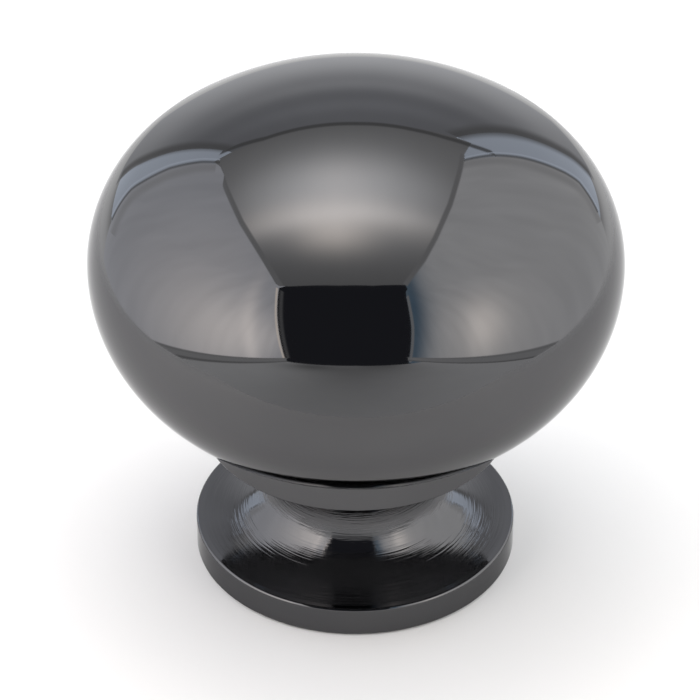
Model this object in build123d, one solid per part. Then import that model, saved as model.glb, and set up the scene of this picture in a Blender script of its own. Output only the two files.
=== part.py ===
from build123d import *
from math import acos, asin, cos, degrees, radians, sin, sqrt, tan
import os

# Mushroom knob for a cabinet door or a drawer front: a hollow drawn head on a turned foot.
# Millimetres. +Z is the knob's own axis, from the mounting face out to the crown.
# The origin is the middle of the mounting face.

# Head: a drawn brass shell, rounded over its widest line and flat where it sits on the foot
head_diameter = 32.0
shoulder_radius = 8.2  # rounding from the widest line up to the crown
crown_radius = 21.3
under_width = 12.1  # the underside is part of an ellipse with these half axes
under_height = 10.7
shell_wall = 0.7
shell_flat_diameter = 18.3  # flat ring underneath that rests on the foot's collar

# Joint: the foot's spigot goes through the shell's mouth and is swaged over inside
spigot_diameter = 10.0
mouth_clearance = 0.05  # radial gap between spigot and mouth
bead_diameter = 12.2
bead_height = 0.9
bead_rounding = 0.5

# Foot: one turned brass spool with a flange, a deep waist and a collar
seat_height = 11.1  # mounting face to the face that carries the head
flange_diameter = 19.65
rim_height = 1.94
rim_rounding = 0.16
base_chamfer = 0.12
flange_land = 0.3  # flat ring between the rim's rounding and the waist
waist_slope = 4.1  # the waist leaves the flat ring at this angle, in degrees
waist_reach = 2.6  # how far the waist keeps to that slope
neck_reach = 2.25  # how far it keeps upright below the neck
neck_diameter = 10.0
neck_height = 5.45  # mounting face to the narrowest ring of the waist
collar_diameter = 18.86
collar_thickness = 1.95
collar_rounding = 0.15
collar_land = 0.3  # flat ring under the collar, outside the waist

# Screw hole: tapped M4 from the mounting face, drilled to this core, blind
thread_core_diameter = 3.3
countersink_diameter = 4.4
drill_point_angle = 118.0
metal_above_hole = 2.0

head_radius = head_diameter / 2
flat_radius = shell_flat_diameter / 2
under_centre = head_radius - under_width  # where the underside's ellipse has its middle
widest_height = seat_height + under_height * sqrt(1 - ((flat_radius - under_centre) / under_width) ** 2)
spigot_radius = spigot_diameter / 2
mouth_radius = spigot_radius + mouth_clearance
bead_radius = bead_diameter / 2
flange_radius = flange_diameter / 2
neck_radius = neck_diameter / 2
collar_radius = collar_diameter / 2
core_radius = thread_core_diameter / 2


def turned(edges):
    """Turns a closed outline about the knob's axis; its X is the radius and its Y the height."""
    return revolve(Plane.XZ * make_face(edges), axis=Axis.Z)


def dome(inset):
    """The head's outline from its flat ring to the crown, moved inwards by inset.

    Gives its curves, the radius at which they start on the flat ring and the height of their top.
    """
    half_width = under_width - inset
    half_height = under_height - inset
    start = -asin((widest_height - seat_height - inset) / half_height)
    shoulder_centre = head_radius - shoulder_radius
    centres_apart = crown_radius - shoulder_radius
    # The shoulder meets the crown where both centres lie on one normal.
    meeting = acos(shoulder_centre / centres_apart)
    crown_centre = widest_height - centres_apart * sin(meeting)
    arcs = [
        EllipticalCenterArc(
            (under_centre, widest_height), half_width, half_height, degrees(start), arc_size=degrees(-start)
        ),
        CenterArc((shoulder_centre, widest_height), shoulder_radius - inset, 0, degrees(meeting)),
        CenterArc((0, crown_centre), crown_radius - inset, degrees(meeting), 90 - degrees(meeting)),
    ]
    return arcs, under_centre + half_width * cos(start), crown_centre + crown_radius - inset


def build_head_shell():
    """Hollow head: one wall all over, open only at the mouth that the spigot fills."""
    outside, flat_outside, top_outside = dome(0)
    inside, flat_inside, top_inside = dome(shell_wall)
    floor = seat_height + shell_wall
    closing = [
        Line((mouth_radius, seat_height), (flat_outside, seat_height)),
        Line((mouth_radius, floor), (flat_inside, floor)),
        Line((mouth_radius, seat_height), (mouth_radius, floor)),
        Line((0, top_inside), (0, top_outside)),
    ]
    return turned(outside + inside + closing)


def foot_outline():
    """Foot from the mounting face's edge up and round to the top of the swaged bead."""
    underside = seat_height - collar_thickness
    waist_in = flange_radius - rim_rounding - flange_land
    waist_out = collar_radius - collar_rounding - collar_land
    bead_bottom = seat_height + shell_wall
    bead_top = bead_bottom + bead_height
    rim_in = flange_radius - rim_rounding
    collar_in = collar_radius - collar_rounding
    bead_in = bead_radius - bead_rounding
    slope = radians(waist_slope)
    return [
        Line((flange_radius - base_chamfer, 0), (flange_radius, base_chamfer)),
        Line((flange_radius, base_chamfer), (flange_radius, rim_height - rim_rounding)),
        CenterArc((rim_in, rim_height - rim_rounding), rim_rounding, 0, 90),
        Line((rim_in, rim_height), (waist_in, rim_height)),
        # Waist: a hollow curve up from the flange and a quarter round under the collar, upright at the neck
        Bezier(
            (waist_in, rim_height),
            (waist_in - waist_reach * cos(slope), rim_height + waist_reach * sin(slope)),
            (neck_radius, neck_height - neck_reach),
            (neck_radius, neck_height),
        ),
        EllipticalCenterArc(
            (waist_out, neck_height), waist_out - neck_radius, underside - neck_height, 90, arc_size=90
        ),
        Line((waist_out, underside), (collar_in, underside)),
        CenterArc((collar_in, underside + collar_rounding), collar_rounding, -90, 90),
        Line((collar_radius, underside + collar_rounding), (collar_radius, seat_height - collar_rounding)),
        CenterArc((collar_in, seat_height - collar_rounding), collar_rounding, 0, 90),
        Line((collar_in, seat_height), (spigot_radius, seat_height)),
        Line((spigot_radius, seat_height), (spigot_radius, bead_bottom)),
        Line((spigot_radius, bead_bottom), (bead_radius, bead_bottom)),
        Line((bead_radius, bead_bottom), (bead_radius, bead_top - bead_rounding)),
        CenterArc((bead_in, bead_top - bead_rounding), bead_rounding, 0, 90),
        Line((bead_in, bead_top), (0, bead_top)),
    ]


def hole_outline():
    """Screw hole from the top of the foot down to the countersink at the mounting face."""
    bead_top = seat_height + shell_wall + bead_height
    tip = bead_top - metal_above_hole
    shoulder = tip - core_radius / tan(radians(drill_point_angle / 2))
    countersink_radius = countersink_diameter / 2
    countersink_top = countersink_radius - core_radius
    return [
        Line((0, bead_top), (0, tip)),
        Line((0, tip), (core_radius, shoulder)),
        Line((core_radius, shoulder), (core_radius, countersink_top)),
        Line((core_radius, countersink_top), (countersink_radius, 0)),
        Line((countersink_radius, 0), (flange_radius - base_chamfer, 0)),
    ]


def build_turned_foot():
    """Solid foot with its tapped hole."""
    return turned(foot_outline() + hole_outline())


parts = {
    "head_shell": build_head_shell(),
    "turned_foot": build_turned_foot(),
}

os.makedirs("parts", exist_ok=True)
for node, solid in parts.items():
    export_step(solid, f"parts/{node}.step")
    print(node, "volume", round(solid.volume, 1), "valid", solid.is_valid)
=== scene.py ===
import math

import bpy
from mathutils import Matrix, Vector


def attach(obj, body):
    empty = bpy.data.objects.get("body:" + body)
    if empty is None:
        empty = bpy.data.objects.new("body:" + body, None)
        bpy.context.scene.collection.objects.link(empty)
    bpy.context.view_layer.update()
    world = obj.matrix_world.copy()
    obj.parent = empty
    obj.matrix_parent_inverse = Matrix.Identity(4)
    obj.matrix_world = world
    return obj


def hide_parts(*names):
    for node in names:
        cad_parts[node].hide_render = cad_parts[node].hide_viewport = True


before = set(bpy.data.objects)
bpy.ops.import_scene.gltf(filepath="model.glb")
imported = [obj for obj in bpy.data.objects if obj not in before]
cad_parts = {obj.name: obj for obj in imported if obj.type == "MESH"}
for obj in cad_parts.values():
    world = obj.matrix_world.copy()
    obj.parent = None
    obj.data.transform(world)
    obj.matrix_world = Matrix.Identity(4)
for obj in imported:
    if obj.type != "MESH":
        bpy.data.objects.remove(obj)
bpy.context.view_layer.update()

print("frame loaded:", sorted(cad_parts))

mm = 0.001


def linearColour(hexColour):
    channels = [int(hexColour[i:i + 2], 16) / 255 for i in (1, 3, 5)]
    return tuple(c / 12.92 if c <= 0.04045 else ((c + 0.055) / 1.055) ** 2.4 for c in channels) + (1.0,)


def addNode(tree, kind, settings=None, links=None):
    # settings are the node's own options or its sockets; links name what feeds a socket, a node or a value
    node = tree.nodes.new(kind)
    for name, value in (settings or {}).items():
        if isinstance(name, str) and hasattr(node, name):
            setattr(node, name, value)
        else:
            node.inputs[name].default_value = value
    for name, source in (links or {}).items():
        if isinstance(source, bpy.types.NodeSocket):
            tree.links.new(source, node.inputs[name])
        else:
            node.inputs[name].default_value = source
    return node


def newMaterial(name):
    material = bpy.data.materials.new(name)
    material.use_nodes = True
    material.node_tree.nodes.clear()
    return material, material.node_tree


def finishMaterial(tree, shader):
    addNode(tree, "ShaderNodeOutputMaterial", links={"Surface": shader})


def bell(tree, offset):
    # 1 at the middle, falling off as a bell with the length of offset
    square = addNode(tree, "ShaderNodeVectorMath", {"operation": "DOT_PRODUCT"}, {0: offset, 1: offset})
    return addNode(tree, "ShaderNodeMath", {"operation": "POWER", 0: math.exp(-0.5)},
                   {1: square.outputs["Value"]}).outputs[0]


def addMesh(name, points, faces, material):
    mesh = bpy.data.meshes.new(name)
    mesh.from_pydata([[c * mm for c in p] for p in points], [], faces)
    mesh.materials.append(material)
    piece = bpy.data.objects.new(name, mesh)
    bpy.context.scene.collection.objects.link(piece)
    return piece


def straight(start, end, steps=1):
    length = math.dist(start, end)
    facing = ((end[1] - start[1]) / length, -(end[0] - start[0]) / length)
    points = []
    for i in range(steps + 1):
        t = i / steps
        points.append((start[0] + (end[0] - start[0]) * t, start[1] + (end[1] - start[1]) * t, *facing))
    return points


def arc(centre, radii, start, sweep, steps, hollow=False):
    # an elliptical arc; hollow means that the metal is outside it
    points = []
    for i in range(steps + 1):
        angle = math.radians(start + sweep * i / steps)
        c, s = math.cos(angle), math.sin(angle)
        facing = Vector((c / radii[0], s / radii[1])).normalized() * (-1 if hollow else 1)
        points.append((centre[0] + radii[0] * c, centre[1] + radii[1] * s, facing.x, facing.y))
    return points


def bezier(start, near, far, end, steps):
    # a hollow curve; its metal is on the side that a quarter turn left of the way along faces away from
    points = []
    for i in range(steps + 1):
        t = i / steps
        weights = ((1 - t) ** 3, 3 * (1 - t) ** 2 * t, 3 * (1 - t) * t * t, t ** 3)
        slopes = (-3 * (1 - t) ** 2, 3 * (1 - t) * (1 - 3 * t), 3 * t * (2 - 3 * t), 3 * t * t)
        corners = (start, near, far, end)
        x, y = (sum(w * c[k] for w, c in zip(weights, corners)) for k in (0, 1))
        along = Vector([sum(w * c[k] for w, c in zip(slopes, corners)) for k in (0, 1)]).normalized()
        points.append((x, y, along.y, -along.x))
    return points


def turnedPiece(name, runs, around, material, hole=None):
    # spins the runs of an outline about the axis; every corner keeps the exact facing of its own run
    points, faces, facings = [], [], []
    turns = [(math.cos(2 * math.pi * i / around), math.sin(2 * math.pi * i / around)) for i in range(around)]
    rings = []
    same = 1e-6

    def ringAt(radius, height):
        # a run starts on the ring where the last one ended, and the last run ends on the first ring
        for ring in (rings[-1:] + rings[:1]):
            if abs(ring[0] - radius) < same and abs(ring[1] - height) < same:
                return ring
        first = len(points)
        if radius < same:
            points.append((0, 0, height))
        else:
            points.extend((radius * c, radius * s, height) for c, s in turns)
        rings.append((radius, height, first))
        return rings[-1]

    def facingAt(point, i):
        c, s = turns[i % around]
        return (point[2] * c, point[2] * s, point[3])

    for run in runs:
        for low, high in zip(run, run[1:]):
            a, b = ringAt(low[0], low[1]), ringAt(high[0], high[1])
            for i in range(around):
                j = (i + 1) % around
                if a[0] < same:
                    faces.append((a[2], b[2] + j, b[2] + i))
                    facings.append((facingAt(low, i), facingAt(high, j), facingAt(high, i)))
                elif b[0] < same:
                    faces.append((a[2] + i, a[2] + j, b[2]))
                    facings.append((facingAt(low, i), facingAt(low, j), facingAt(high, i)))
                else:
                    faces.append((a[2] + i, a[2] + j, b[2] + j, b[2] + i))
                    facings.append((facingAt(low, i), facingAt(low, j), facingAt(high, j), facingAt(high, i)))
    smoothFaces = len(faces)
    if hole:
        hole(points, faces, rings, around)
    piece = addMesh(name, points, faces, material)
    mesh = piece.data
    mesh.shade_smooth()
    corners = [tuple(corner.vector) for corner in mesh.corner_normals]
    k = 0
    for face in facings[:smoothFaces]:
        for facing in face:
            corners[k] = facing
            k += 1
    mesh.normals_split_custom_set(corners)
    return piece


plating = {
    "colour": "#5A5A5B",       # black nickel over polished brass: a dark, hardly tinted mirror
    "shade": "#555557",        # where the bath left it a little darker
    "cloudSize": 6.0,          # mm across one cloud of that
    "headRoughness": (0.02, 0.045),
    "peelSize": 2.2,           # mm across one wave left by the polishing wheel
    "peelHeight": 0.00012,     # mm
    "edgeTint": "#E2E2E2",     # it brightens a little less towards a grazing view than a bare mirror
    "footRoughness": (0.03, 0.07),
    "ringSpacing": 0.1,        # mm between tool rings, the lathe's feed
    "ringHeight": 0.02,        # mm
    "ringsTo": (9.33, 9.43),   # radius where they stop: rim and collar were polished after the waist
    "ringBreak": 1.7,          # how often a ring fades along its way round
}


def platedHeadMaterial():
    # brass drawn to a shell, polished to a mirror and plated with black nickel: every light shows
    # sharp in it, bent a little where the wheel left the surface wavy
    material, tree = newMaterial("blackNickelPolished")
    place = addNode(tree, "ShaderNodeTexCoord").outputs["Object"]
    cloud = addNode(tree, "ShaderNodeTexNoise", {"Scale": 1 / (plating["cloudSize"] * mm), "Detail": 3.0},
                    {"Vector": place})
    colour = addNode(tree, "ShaderNodeMix", {"data_type": "RGBA", 6: linearColour(plating["shade"]),
                     7: linearColour(plating["colour"])}, {0: cloud.outputs["Fac"]})
    low, high = plating["headRoughness"]
    haze = addNode(tree, "ShaderNodeMapRange", {"From Min": 0.3, "From Max": 0.7, "To Min": low, "To Max": high},
                   {"Value": cloud.outputs["Fac"]})
    peel = addNode(tree, "ShaderNodeTexNoise", {"Scale": 1 / (plating["peelSize"] * mm), "Detail": 1.0},
                   {"Vector": place})
    wave = addNode(tree, "ShaderNodeBump", {"Strength": 1.0, "Distance": plating["peelHeight"] * mm},
                   {"Height": peel.outputs["Fac"]})
    metal = addNode(tree, "ShaderNodeBsdfPrincipled", {"Metallic": 1.0,
                    "Specular Tint": linearColour(plating["edgeTint"])},
                    {"Base Color": colour.outputs[2], "Roughness": haze.outputs["Result"],
                     "Normal": wave.outputs["Normal"]})
    finishMaterial(tree, metal.outputs["BSDF"])
    return material


def platedFootMaterial():
    # brass turned on a lathe, buffed and plated with black nickel: the same dark mirror, with the
    # tool's fine rings still in it, which draw out each light into short bright strokes
    material, tree = newMaterial("blackNickelTurned")
    place = addNode(tree, "ShaderNodeTexCoord").outputs["Object"]
    parts = addNode(tree, "ShaderNodeSeparateXYZ", links={"Vector": place})
    flat = addNode(tree, "ShaderNodeCombineXYZ", links={"X": parts.outputs["X"], "Y": parts.outputs["Y"]})
    radius = addNode(tree, "ShaderNodeVectorMath", {"operation": "LENGTH"}, {0: flat.outputs["Vector"]})
    spoke = addNode(tree, "ShaderNodeVectorMath", {"operation": "NORMALIZE"}, {0: flat.outputs["Vector"]})
    spokeParts = addNode(tree, "ShaderNodeSeparateXYZ", links={"Vector": spoke.outputs["Vector"]})
    feed = 1 / (plating["ringSpacing"] * mm)
    across = addNode(tree, "ShaderNodeMath", {"operation": "MULTIPLY", 1: feed}, {0: radius.outputs["Value"]})
    along = addNode(tree, "ShaderNodeMath", {"operation": "MULTIPLY", 1: feed}, {0: parts.outputs["Z"]})
    roundX = addNode(tree, "ShaderNodeMath", {"operation": "MULTIPLY", 1: plating["ringBreak"]},
                     {0: spokeParts.outputs["X"]})
    roundY = addNode(tree, "ShaderNodeMath", {"operation": "MULTIPLY", 1: plating["ringBreak"]},
                     {0: spokeParts.outputs["Y"]})
    lathe = addNode(tree, "ShaderNodeCombineXYZ", links={"X": across.outputs[0], "Y": along.outputs[0],
                                                         "Z": roundX.outputs[0]})
    rings = addNode(tree, "ShaderNodeTexNoise", {"noise_dimensions": "4D", "Scale": 1.0, "Detail": 2.0},
                    {"Vector": lathe.outputs["Vector"], "W": roundY.outputs[0]})
    cloud = addNode(tree, "ShaderNodeTexNoise", {"Scale": 1 / (plating["cloudSize"] * mm), "Detail": 3.0},
                    {"Vector": place})
    colour = addNode(tree, "ShaderNodeMix", {"data_type": "RGBA", 6: linearColour(plating["shade"]),
                     7: linearColour(plating["colour"])}, {0: cloud.outputs["Fac"]})
    low, high = plating["footRoughness"]
    haze = addNode(tree, "ShaderNodeMapRange", {"From Min": 0.3, "From Max": 0.7, "To Min": low, "To Max": high},
                   {"Value": rings.outputs["Fac"]})
    ringsIn, ringsOut = plating["ringsTo"]
    depth = addNode(tree, "ShaderNodeMapRange", {"From Min": ringsIn * mm, "From Max": ringsOut * mm, "To Min": 1.0,
                    "To Max": 0.15}, {"Value": radius.outputs["Value"]})
    grooves = addNode(tree, "ShaderNodeBump", {"Distance": plating["ringHeight"] * mm},
                      {"Height": rings.outputs["Fac"], "Strength": depth.outputs["Result"]})
    metal = addNode(tree, "ShaderNodeBsdfPrincipled", {"Metallic": 1.0,
                    "Specular Tint": linearColour(plating["edgeTint"])},
                    {"Base Color": colour.outputs[2], "Roughness": haze.outputs["Result"],
                     "Normal": grooves.outputs["Normal"]})
    finishMaterial(tree, metal.outputs["BSDF"])
    return material


platedHead = platedHeadMaterial()
platedFoot = platedFootMaterial()
print("materials made")


head = {
    "radius": 16.0,
    "seat": 11.1,            # height of the flat ring that sits on the foot
    "flat": 9.15,            # outer radius of that ring
    "mouth": 5.05,
    "under": (12.1, 10.7),   # half axes of the underside's ellipse
    "shoulder": 8.2,
    "crown": 21.3,
    "wall": 0.7,
    "around": 288,
}


def domeRuns(inset, steps):
    wide, high = head["under"]
    underIn = head["radius"] - wide
    widest = head["seat"] + high * math.sqrt(1 - ((head["flat"] - underIn) / wide) ** 2)
    start = math.degrees(math.asin((widest - head["seat"] - inset) / (high - inset)))
    shoulderIn = head["radius"] - head["shoulder"]
    apart = head["crown"] - head["shoulder"]
    meeting = math.acos(shoulderIn / apart)
    crownIn = widest - apart * math.sin(meeting)
    turn = math.degrees(meeting)

    def side(centre, radii, begin, sweep, count):
        return arc(centre, [radius - inset for radius in radii], begin, sweep, count, hollow=inset > 0)

    return [
        side((underIn, widest), head["under"], -start, start, steps),
        side((shoulderIn, widest), (head["shoulder"],) * 2, 0, turn, steps * 2 // 3),
        side((0, crownIn), (head["crown"],) * 2, turn, 90 - turn, steps * 2 // 3),
    ]


outside = domeRuns(0, 48)
inside = [run[::-1] for run in domeRuns(head["wall"], 15)][::-1]
floorHeight = head["seat"] + head["wall"]
flatInside = inside[-1][-1][0]
shell = turnedPiece("headShell", [
    *outside,
    *inside,
    straight((flatInside, floorHeight), (head["mouth"], floorHeight)),
    straight((head["mouth"], floorHeight), (head["mouth"], head["seat"])),
    straight((head["mouth"], head["seat"]), (head["flat"], head["seat"])),
], head["around"], platedHead)
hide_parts("head_shell")
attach(shell, "root")
print("head made:", len(shell.data.polygons), "faces")


foot = {
    "flange": 9.825,
    "rim": 1.94,
    "rimRounding": 0.16,
    "baseChamfer": 0.12,
    "land": 0.3,
    "waistSlope": 4.1,       # the waist leaves the flat ring at this angle
    "waistReach": 2.6,
    "neckReach": 2.25,
    "neck": 5.0,
    "neckHeight": 5.45,
    "collar": 9.43,
    "collarBottom": 9.15,
    "collarRounding": 0.15,
    "collarLand": 0.3,
    "spigot": 5.0,
    "bead": 6.1,
    "beadHeight": 0.9,
    "beadRounding": 0.5,
    "around": 256,
}

screwHole = {
    "core": 1.65,            # M4 tapping drill
    "major": 2.0,
    "pitch": 0.7,
    "flankAngle": 30.0,
    "countersink": 2.2,
    "threadTop": 8.2,        # where the tap stopped
    "tip": 10.7,
    "drillPoint": 118.0,
    "rowStep": 0.07,
}


def threadedHole(points, faces, rings, around):
    # right-hand thread as a wall whose radius rises and falls with height and turn
    pitch, core, rim = screwHole["pitch"], screwHole["core"], screwHole["countersink"]
    depth = screwHole["major"] - core
    shoulder = screwHole["tip"] - core / math.tan(math.radians(screwHole["drillPoint"] / 2))
    flank = depth * math.tan(math.radians(screwHole["flankAngle"]))

    def wall(height, turn):
        phase = (height / pitch + turn) % 1 * pitch
        crest = pitch / 8
        away = abs(phase - pitch / 2)
        rise = min(max((flank + crest / 2 - away) / flank, 0), 1)
        fade = min(max((screwHole["threadTop"] - height) / pitch, 0), 1)
        return max(core + depth * rise * fade, rim - height)

    rows = []
    count = round(shoulder / screwHole["rowStep"])
    first = rings[0][2]      # the ring round the hole, where the outline begins
    rows.append([first + i for i in range(around)])
    for k in range(1, count + 1):
        height = shoulder * k / count
        start = len(points)
        for i in range(around):
            angle = 2 * math.pi * i / around
            radius = wall(height, -i / around)
            points.append((radius * math.cos(angle), radius * math.sin(angle), height))
        rows.append([start + i for i in range(around)])
    points.append((0, 0, screwHole["tip"]))
    tip = len(points) - 1
    for low, high in zip(rows, rows[1:]):
        for i in range(around):
            j = (i + 1) % around
            faces.append((low[j], low[i], high[i], high[j]))
    for i in range(around):
        faces.append((rows[-1][(i + 1) % around], rows[-1][i], tip))


rimIn = foot["flange"] - foot["rimRounding"]
waistIn = rimIn - foot["land"]
collarIn = foot["collar"] - foot["collarRounding"]
waistOut = collarIn - foot["collarLand"]
beadIn = foot["bead"] - foot["beadRounding"]
beadTop = floorHeight + foot["beadHeight"]
slope = math.radians(foot["waistSlope"])
spool = turnedPiece("turnedFoot", [
    straight((screwHole["countersink"], 0), (foot["flange"] - foot["baseChamfer"], 0), 4),
    straight((foot["flange"] - foot["baseChamfer"], 0), (foot["flange"], foot["baseChamfer"])),
    straight((foot["flange"], foot["baseChamfer"]), (foot["flange"], foot["rim"] - foot["rimRounding"])),
    arc((rimIn, foot["rim"] - foot["rimRounding"]), (foot["rimRounding"],) * 2, 0, 90, 8),
    straight((rimIn, foot["rim"]), (waistIn, foot["rim"]), 6),
    bezier((waistIn, foot["rim"]),
           (waistIn - foot["waistReach"] * math.cos(slope), foot["rim"] + foot["waistReach"] * math.sin(slope)),
           (foot["neck"], foot["neckHeight"] - foot["neckReach"]), (foot["neck"], foot["neckHeight"]), 56),
    arc((waistOut, foot["neckHeight"]), (waistOut - foot["neck"], foot["collarBottom"] - foot["neckHeight"]),
        180, -90, 40, hollow=True),
    straight((waistOut, foot["collarBottom"]), (collarIn, foot["collarBottom"])),
    arc((collarIn, foot["collarBottom"] + foot["collarRounding"]), (foot["collarRounding"],) * 2, -90, 90, 6),
    straight((foot["collar"], foot["collarBottom"] + foot["collarRounding"]),
             (foot["collar"], head["seat"] - foot["collarRounding"])),
    arc((collarIn, head["seat"] - foot["collarRounding"]), (foot["collarRounding"],) * 2, 0, 90, 6),
    straight((collarIn, head["seat"]), (foot["spigot"], head["seat"])),
    straight((foot["spigot"], head["seat"]), (foot["spigot"], floorHeight)),
    straight((foot["spigot"], floorHeight), (foot["bead"], floorHeight)),
    straight((foot["bead"], floorHeight), (foot["bead"], beadTop - foot["beadRounding"])),
    arc((beadIn, beadTop - foot["beadRounding"]), (foot["beadRounding"],) * 2, 0, 90, 6),
    straight((beadIn, beadTop), (0, beadTop)),
], foot["around"], platedFoot, threadedHole)
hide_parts("turned_foot")
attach(spool, "root")
print("foot made:", len(spool.data.polygons), "faces")


tent = {
    "side": 97.0,            # mm from the axis to the side sheets
    "roof": 126.0,           # mm above the middle of the head, as all heights in the tent
    "back": 150.0,           # mm behind the axis, and the window behind that
    "window": 210.0,
    "table": -25.2,          # the foot of all sheets
    "headHeight": 20.7,      # middle of the head above the mounting face
    "seamLift": 0.6,         # mm from a sheet to a seam on it, and again to a seam over that one
    "foldSize": 14.0,        # mm across one soft fold of the cloth
    "foldStretch": 6.0,      # how many times longer a fold is than wide
    "foldDepth": 0.045,      # share by which a fold of a side sheet is lighter or darker
    "flatDepth": 0.012,      # the same on the sheets that hang flat
}
warm, plain, cool, daylight = "#FFF1E2", "#FFFFFF", "#F7F9FF", "#E7F1FF"
alongX, alongY, alongZ = (1, 0, 0), (0, 1, 0), (0, 0, 1)
side, roofUp, backWall, table = tent["side"], tent["roof"], tent["back"], tent["table"]

# where a sheet hangs: the two directions of its outline, a point by them, and the way towards the knob
planes = {
    "left": (alongY, alongZ, lambda y, z: (-side, y, z), (1, 0, 0)),
    "right": (alongY, alongZ, lambda y, z: (side, y, z), (-1, 0, 0)),
    "roof": (alongX, alongY, lambda x, y: (x, y, roofUp), (0, 0, -1)),
    "back": (alongX, alongZ, lambda x, z: (x, backWall, z), (0, -1, 0)),
}


def evenTint(hexColour):
    # a tint that doesn't change the mean level
    colour = linearColour(hexColour)[:3]
    return Vector(colour) * (3 / sum(colour))


def clothMaterial(name, first, second, base, glows, folds):
    # white tent cloth lit from behind: a base level, and glows where lamps stand close behind it
    # first and second: the sheet's directions; a glow: tint, level, middle, spread, lean (all mm)
    material, tree = newMaterial(name)
    place = addNode(tree, "ShaderNodeTexCoord").outputs["Object"]
    first, second = Vector(first), Vector(second)
    rise = tent["headHeight"] * second.z
    lit = (evenTint(base[0]) * base[1])[:]
    for tint, level, (middleFirst, middleSecond), (spreadFirst, spreadSecond), lean in glows:
        middleSecond += rise
        rows = []
        for way, offset in (((first - second * lean) / spreadFirst, (middleFirst - lean * middleSecond) / spreadFirst),
                            (second / spreadSecond, middleSecond / spreadSecond)):
            along = addNode(tree, "ShaderNodeVectorMath", {"operation": "DOT_PRODUCT", 1: (way / mm)[:]}, {0: place})
            rows.append(addNode(tree, "ShaderNodeMath", {"operation": "SUBTRACT", 1: offset},
                                {0: along.outputs["Value"]}).outputs[0])
        both = addNode(tree, "ShaderNodeCombineXYZ", links={"X": rows[0], "Y": rows[1]}).outputs["Vector"]
        fall = bell(tree, both)
        lit = addNode(tree, "ShaderNodeVectorMath", {"operation": "MULTIPLY_ADD", 0: (evenTint(tint) * level)[:]},
                      {1: fall, 2: lit}).outputs["Vector"]
    narrow = [1 / (tent["foldSize"] * mm * (tent["foldStretch"] if c else 1)) for c in second]
    stretch = addNode(tree, "ShaderNodeVectorMath", {"operation": "MULTIPLY", 1: narrow}, {0: place})
    wave = addNode(tree, "ShaderNodeTexNoise", {"Scale": 1.0, "Detail": 1.5}, {"Vector": stretch.outputs["Vector"]})
    shade = addNode(tree, "ShaderNodeMapRange", {"From Min": 0.3, "From Max": 0.7, "To Min": 1 - folds,
                    "To Max": 1 + folds}, {"Value": wave.outputs["Fac"]})
    glow = addNode(tree, "ShaderNodeEmission", links={"Color": lit, "Strength": shade.outputs["Result"]})
    finishMaterial(tree, glow.outputs["Emission"])
    return material


def evenMaterial(name, tint, level):
    # one even glow, such as a window far behind or a black card
    material, tree = newMaterial(name)
    glow = addNode(tree, "ShaderNodeEmission", {"Color": (*evenTint(tint), 1), "Strength": level})
    finishMaterial(tree, glow.outputs["Emission"])
    return material


def seamMaterial(name, tint, level, cover, solid=0.1):
    # a fold, hem or shadow line along a sheet's edge, solid in its middle part and soft on both sides
    material, tree = newMaterial(name)
    edge = addNode(tree, "ShaderNodeAttribute", {"attribute_name": "fromMiddle"}).outputs["Fac"]
    amount = addNode(tree, "ShaderNodeMapRange", {"interpolation_type": "SMOOTHSTEP", "From Min": 1.0,
                     "From Max": solid, "To Max": cover}, {"Value": edge})
    glow = addNode(tree, "ShaderNodeEmission", {"Color": (*(evenTint(tint) * level), 1)})
    clear = addNode(tree, "ShaderNodeBsdfTransparent")
    mixed = addNode(tree, "ShaderNodeMixShader", links={0: amount.outputs["Result"], 1: clear.outputs["BSDF"],
                                                        2: glow.outputs["Emission"]})
    finishMaterial(tree, mixed.outputs["Shader"])
    return material


def hide(piece):
    piece.visible_camera = False
    return piece


def addSheet(name, corners, material):
    return hide(addMesh(name, [(x, y, z + tent["headHeight"]) for x, y, z in corners],
                        [tuple(range(len(corners)))], material))


def hangSheet(name, planeName, sheet):
    first, second, pointAt, inward = planes[planeName]
    cloth = clothMaterial(sheet["cloth"], first, second, sheet["base"], sheet["glows"], sheet["folds"])
    return addSheet(name, [pointAt(*p) for p in sheet["outline"]], cloth)


def addSeam(name, planeName, path, layer, width, material):
    # a ribbon along a path in a sheet's plane, held off it by its layer
    first, second, pointAt, inward = planes[planeName]
    inward = Vector(inward)
    lift = inward * tent["seamLift"] * layer + Vector((0, 0, tent["headHeight"]))
    middle = [Vector(pointAt(*p)) + lift for p in path]
    points, faces = [], []
    for i, p in enumerate(middle):
        along = (middle[min(i + 1, len(middle) - 1)] - middle[max(i - 1, 0)]).normalized()
        aside = along.cross(inward) * (width / 2)
        points.extend((p - aside, p, p + aside))
        if i:
            k = 3 * i
            faces.extend(((k - 3, k - 2, k + 1, k), (k - 2, k - 1, k + 2, k + 1)))
    ribbon = addMesh(name, [tuple(p) for p in points], faces, material)
    values = ribbon.data.attributes.new("fromMiddle", "FLOAT", "POINT")
    values.data.foreach_set("value", [1.0, 0.0, 1.0] * len(middle))
    return hide(ribbon)


seamCloth = {
    "hemLine": seamMaterial("hemLine", plain, 0.5, 0.9),
    "hemFold": seamMaterial("hemFold", plain, 0.8, 0.9, 0.5),
    "hemLit": seamMaterial("hemLit", warm, 3.3, 0.9),
    "hemGlint": seamMaterial("hemGlint", daylight, 2.6, 0.8),
    "hemWide": seamMaterial("hemWide", plain, 0.95, 1.0, 0.75),
    "hemGrey": seamMaterial("hemGrey", plain, 0.95, 0.9, 0.5),
    "hemDark": seamMaterial("hemDark", plain, 0.38, 0.9, 0.3),
    "wallShadow": seamMaterial("wallShadow", plain, 0.45, 0.8),
    "clothShade": seamMaterial("clothShade", plain, 1.1, 0.5),
}

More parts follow.
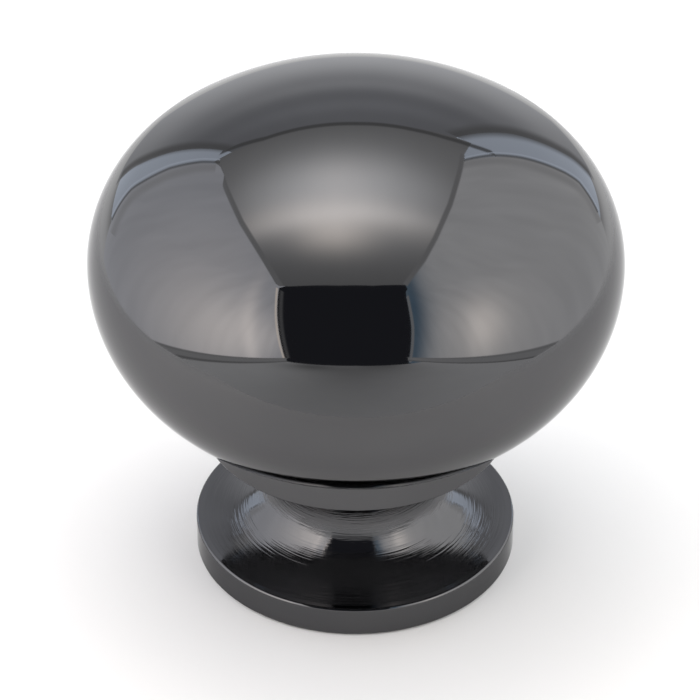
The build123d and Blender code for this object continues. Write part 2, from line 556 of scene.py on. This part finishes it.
# the left side sheet; an outline and a seam's path are in mm along the plane's two directions
leftSheet = {
    "cloth": "tentClothLeft",
    "outline": [(-186, 46), (-186, 36), (-38, table), (64, table), (76, -10), (95, 20), (108.5, 55), (113.5, 85),
                (113.5, 111), (109, 118), (94, 127), (90, 260), (-72, 260), (-70, 211), (-99, 171), (-138.5, 115),
                (-170, 70)],
    "base": (cool, 1.7),
    "glows": [
        (warm, 1.5, (-83, 41), (38, 46), -0.26),
        (warm, 0.72, (-88, 79), (10, 66), 0.5),
        (warm, 0.6, (-30, 80), (50, 70), 0.0),
        (warm, 0.4, (-142, 75), (22, 45), 0.0),
    ],
    "folds": tent["foldDepth"],
    # name, path, layer, width, cloth
    "seams": [
        ("seamLeftFront", [(-194, 51), (-178, 75), (-146, 120), (-107, 176), (-80, 212)], 1, 19, "wallShadow"),
        ("seamLeftLit", [(-181, 46), (-165, 68), (-134, 112), (-95, 168), (-68, 203)], 1, 9, "hemLit"),
        ("seamLeftFoot", [(-190, 44.2), (-15, -29.9)], 1, 12, "hemWide"),
        ("seamLeftLine", [(-190, 39.8), (-15, -33.1)], 2, 4.5, "hemLine"),
        ("seamLeftTop", [(-190, 49.4), (-15, -25.8)], 2, 2.5, "hemFold"),
        ("seamLeftShade", [(106, 111), (104, 88), (99, 60), (85, 26), (63, -4)], 1, 22, "clothShade"),
        ("seamLeftBack", [(114.5, 114), (113.5, 90), (108.5, 58), (95, 22), (78, -6)], 2, 7, "wallShadow"),
        ("seamLeftGlint", [(120.5, 114), (119.5, 88), (114.5, 56), (101, 20), (84, -8)], 1, 4, "hemGlint"),
    ],
}

rightSheet = {
    "cloth": "tentClothRight",
    "outline": [(-255, 62), (-255, 56), (-44, table), (70, table), (87, -2), (99, 11), (108, 21), (116, 38),
                (125, 85), (134, 170), (137, 420), (-90, 420), (-105, 334), (-118, 335), (-139, 308), (-170, 245),
                (-200, 172), (-228, 115)],
    "base": (plain, 1.8),
    "glows": [
        (warm, 1.3, (-72, 50), (16, 30), 0.2),
        (warm, 0.5, (-85, 60), (45, 60), 0.0),
        (warm, -1.3, (-165, 200), (48, 400), 0.5),
    ],
    "folds": tent["foldDepth"],
    "seams": [
        ("seamRightLit", [(-247, 58), (-220, 111), (-192, 168), (-162, 241), (-131, 304)], 1, 17, "hemGrey"),
        ("seamRightFoot", [(-255, 73.5), (-15, -29.7)], 1, 13.5, "hemWide"),
        ("seamRightLine", [(-255, 68.3), (-15, -33.7)], 2, 4.5, "hemLine"),
        ("seamRightTop", [(-255, 79.3), (-15, -25.2)], 2, 2.5, "hemFold"),
        ("seamRightShade", [(125, 165), (120, 110), (114, 75), (105, 38), (90, 12), (76, -4)], 1, 24, "clothShade"),
        ("seamRightBack", [(133, 165), (129, 110), (123, 75), (114, 36), (107, 21), (98, 12), (85, -3)], 2, 8,
         "wallShadow"),
        ("seamRightGlint", [(139, 165), (135, 110), (129, 75), (120, 34), (113, 18), (103, 8), (90, -6)], 1, 4,
         "hemGlint"),
    ],
}

roofSheet = {
    "cloth": "tentClothRoof",
    "outline": [(-57.5, -41.5), (-35, -44), (-12, -46), (12, -46), (36.5, -43), (47.5, -20), (54, 0), (63, 35),
                (72.5, 85), (76.5, 112), (88, 150), (40, 134), (0, 131), (-65, 133), (-114, 139), (-105, 120),
                (-93.5, 75), (-80, 25), (-67, -13)],
    "base": (plain, 0.55),
    "glows": [
        (plain, 2.35, (-10, 34), (48, 29), -0.16),
        (warm, 0.55, (-11, 41), (15, 17), 0.0),
        (warm, 1.5, (-18, 13), (41, 11), -1.16),
        (plain, 0.4, (-6, 11), (50, 6), 0.0),
        (warm, 1.55, (-14, -6), (16, 10), -0.18),
        (plain, 0.38, (0, 95), (300, 40), 0.0),
    ],
    "folds": tent["flatDepth"],
    "seams": [
        ("seamRoofLeft", [(-54.5, -42), (-65, -13), (-79, 25), (-93.5, 75), (-105, 121)], 1, 5.5, "hemFold"),
        ("seamRoofRight", [(35, -43), (46, -20), (52.5, 0), (61.5, 35), (71, 85), (75, 112)], 1, 5, "hemFold"),
        ("seamRoofBack", [(-108, 152), (-88, 143), (-65, 132), (0, 128), (40, 129.5), (62, 133), (86, 142),
                          (112, 157)], 1, 13, "hemDark"),
    ],
}

backSheet = {
    "cloth": "tentClothBack",
    "outline": [(-108, table), (101, table), (93, 20), (84, 60), (78, 110), (75, 135), (74, 200), (-103, 200),
                (-104, 60)],
    "base": (cool, 0.7),
    "glows": [
        (plain, 0.55, (0, 13), (127, 26), 0.0),
        (plain, 0.28, (0, 56), (48, 9), 0.0),
        (cool, 0.14, (-5, 100), (60, 10), 0.0),
        (cool, 0.1, (0, 60), (55, 300), 0.0),
    ],
    "folds": tent["flatDepth"],
    "seams": [
        ("seamBackLeft", [(-100, 125), (-100, 60), (-100, 10), (-100, -20)], 1, 18, "wallShadow"),
        ("seamBackRight", [(73, 126), (78, 85), (83, 50), (89, 20), (94, 0), (98, -20)], 1, 24, "wallShadow"),
    ],
}

# the front sheet rises from the floor towards the camera; the camera's own shade over its upper middle is painted, as
# glows below nought
frontSheet = {
    "corners": [(-254.8, -217.4, 47.6), (-84.7, -197.2, 40.8), (0, -208.6, 46.5), (75.5, -193.2, 40.8),
                (226.8, -193.5, 42.4), (250, -32, table), (-250, -44, table)],
    "base": (plain, 1.38),
    "glows": [
        (plain, -0.7, (-58, 32), (23, 12), 0.0),
        (plain, -0.8, (44, 60), (29, 36), 0.0),
        (plain, -0.58, (-9, 20), (30, 39), 0.0),
    ],
}

# painted light: the tent's floor beyond the paper, hidden from the camera, glows at a set level instead of being lit,
# brighter in pools at the sides
floorSheet = {
    "corners": [(-300, -260, table), (300, -260, table), (300, 210, table), (-300, 210, table)],
    "base": (plain, 1.02),
    "glows": [
        (plain, 0.7, (-105, 50), (45, 80), 0.0),
        (plain, 0.7, (105, 50), (45, 80), 0.0),
        (plain, 0.1, (0, 150), (300, 50), 0.0),
    ],
}

window = {"halfWidth": 300, "top": 260, "level": 2.05}
blackCard = {
    "corners": [(-420, -300, -60), (420, -300, -60), (420, -130, 500), (-420, -130, 500)],
    "tint": "#E8EBFF",
    "level": 0.078,
}

for planeName, sheet in (("left", leftSheet), ("right", rightSheet), ("roof", roofSheet), ("back", backSheet)):
    hangSheet("sheet" + planeName.capitalize(), planeName, sheet)
wide, paneBack = window["halfWidth"], tent["window"]
addSheet("sheetWindow", [(-wide, paneBack, table), (wide, paneBack, table), (wide, paneBack, window["top"]),
                         (-wide, paneBack, window["top"])], evenMaterial("windowPane", daylight, window["level"]))
addSheet("sheetFront", frontSheet["corners"],
         clothMaterial("tentClothFront", alongX, alongZ, frontSheet["base"], frontSheet["glows"], tent["flatDepth"]))
addSheet("sheetFloor", floorSheet["corners"],
         clothMaterial("tentFloor", alongX, alongY, floorSheet["base"], floorSheet["glows"], tent["flatDepth"]))
addSheet("cardBlack", blackCard["corners"], evenMaterial("blackCard", blackCard["tint"], blackCard["level"]))
for planeName, sheet in (("left", leftSheet), ("right", rightSheet), ("roof", roofSheet), ("back", backSheet)):
    for name, path, layer, width, cloth in sheet["seams"]:
        addSeam(name, planeName, path, layer, width, seamCloth[cloth])
print("tent made")


paper = {
    "colour": "#EEEEEE",
    "shade": "#DCDCDC",      # painted shade: the paper is coloured darker in front, where the black card gives it no light
    "paintedShadeAt": -44.0,        # mm along Y
    "paintedShadeSize": (24.0, 18.0),
    "solidTo": 60.0,         # mm from the axis: plain paper up to here
    "goneAt": 95.0,          # and faded into the white beyond
    "cutOut": 9.5,           # radius cut out under the foot, so that its mounting face mirrors the tent's floor
    "grain": 0.4,            # mm, the paper's tooth
    "grainHeight": 0.004,    # mm
    "gap": 0.03,             # mm from the mounting face down to the paper
    "halfWidth": 130.0,
    "frontLeft": -51.8,      # in front it ends where the front sheet comes down to it
    "frontRight": -45.6,
}


def paperMaterial():
    # uncoated white paper: matt and pale, so that it takes the knob's soft shadow
    material, tree = newMaterial("palePaper")
    place = addNode(tree, "ShaderNodeTexCoord").outputs["Object"]
    distance = addNode(tree, "ShaderNodeVectorMath", {"operation": "LENGTH"}, {0: place})
    grain = addNode(tree, "ShaderNodeTexNoise", {"Scale": 1 / (paper["grain"] * mm), "Detail": 2.0}, {"Vector": place})
    tooth = addNode(tree, "ShaderNodeBump", {"Strength": 0.2, "Distance": paper["grainHeight"] * mm},
                    {"Height": grain.outputs["Fac"]})
    # painted shade: the paper's colour darkens in a soft patch in front of the foot
    wide, deep = paper["paintedShadeSize"]
    away = addNode(tree, "ShaderNodeVectorMath", {"operation": "MULTIPLY_ADD", 1: (1 / (wide * mm), 1 / (deep * mm), 0),
                   2: (0, -paper["paintedShadeAt"] / deep, 0)}, {0: place}).outputs["Vector"]
    paintedShadeTone = addNode(tree, "ShaderNodeMix", {"data_type": "RGBA", 6: linearColour(paper["colour"]),
                   7: linearColour(paper["shade"])}, {0: bell(tree, away)})
    matt = addNode(tree, "ShaderNodeBsdfDiffuse", links={"Color": paintedShadeTone.outputs[2], "Normal": tooth.outputs["Normal"]})
    clear = addNode(tree, "ShaderNodeBsdfTransparent")
    fade = addNode(tree, "ShaderNodeMapRange", {"interpolation_type": "SMOOTHSTEP", "From Min": paper["solidTo"] * mm,
                   "From Max": paper["goneAt"] * mm}, {"Value": distance.outputs["Value"]})
    under = addNode(tree, "ShaderNodeNewGeometry").outputs["Backfacing"]   # from below, it doesn't hide the foot
    cut = addNode(tree, "ShaderNodeMath", {"operation": "LESS_THAN", 1: paper["cutOut"] * mm},
                  {0: distance.outputs["Value"]})
    seeThrough = addNode(tree, "ShaderNodeMath", {"operation": "MAXIMUM"}, {0: cut.outputs[0], 1: under})
    gone = addNode(tree, "ShaderNodeMath", {"operation": "MAXIMUM"},
                   {0: fade.outputs["Result"], 1: seeThrough.outputs[0]})
    mixed = addNode(tree, "ShaderNodeMixShader", links={0: gone.outputs[0], 1: matt.outputs["BSDF"],
                                                        2: clear.outputs["BSDF"]})
    finishMaterial(tree, mixed.outputs["Shader"])
    return material


wide, down = paper["halfWidth"], -paper["gap"]
floor = addMesh("floor", [(-wide, paper["frontLeft"], down), (wide, paper["frontRight"], down), (wide, wide, down),
                          (-wide, wide, down)], [(0, 1, 2, 3)], paperMaterial())

world = bpy.data.worlds.new("whiteRoom")
world.use_nodes = True
bpy.context.scene.world = world
room = world.node_tree.nodes["Background"]
room.inputs["Color"].default_value = (1, 1, 1, 1)
room.inputs["Strength"].default_value = 1.0
print("studio made")


shot = {
    "standOff": 256.8,       # mm from the middle of the head
    "elevation": 34.69,
    "roll": -0.2,
    "focal": 4317.0,         # in pixels of the 700-pixel frame
    "frame": 700,
    "sensor": 36.0,          # mm
    "headPixel": (355.95, 261.07),
}
tilt, roll = math.radians(shot["elevation"]), math.radians(shot["roll"])
ahead, up = Vector((0, math.cos(tilt), -math.sin(tilt))), Vector((0, math.sin(tilt), math.cos(tilt)))
right = Vector((1, 0, 0))
right, up = right * math.cos(roll) - up * math.sin(roll), right * math.sin(roll) + up * math.cos(roll)
offX, offY = shot["frame"] / 2 - shot["headPixel"][0], shot["headPixel"][1] - shot["frame"] / 2
lookAlong = (ahead * shot["focal"] + right * offX + up * offY).normalized()
right = lookAlong.cross(up).normalized()
up = right.cross(lookAlong)
lens = bpy.data.cameras.new("camera")
lens.sensor_width = shot["sensor"]
lens.lens = shot["sensor"] * shot["focal"] / shot["frame"]
lens.clip_start, lens.clip_end = 0.005, 20
camera = bpy.data.objects.new("camera", lens)
bpy.context.scene.collection.objects.link(camera)
place = Vector((0, 0, tent["headHeight"])) - ahead * shot["standOff"]
turn = Matrix((right, up, -lookAlong)).transposed()
camera.matrix_world = Matrix.Translation(place * mm) @ turn.to_4x4()
bpy.context.scene.camera = camera
bpy.context.scene.view_settings.view_transform = "Standard"
print("camera placed")
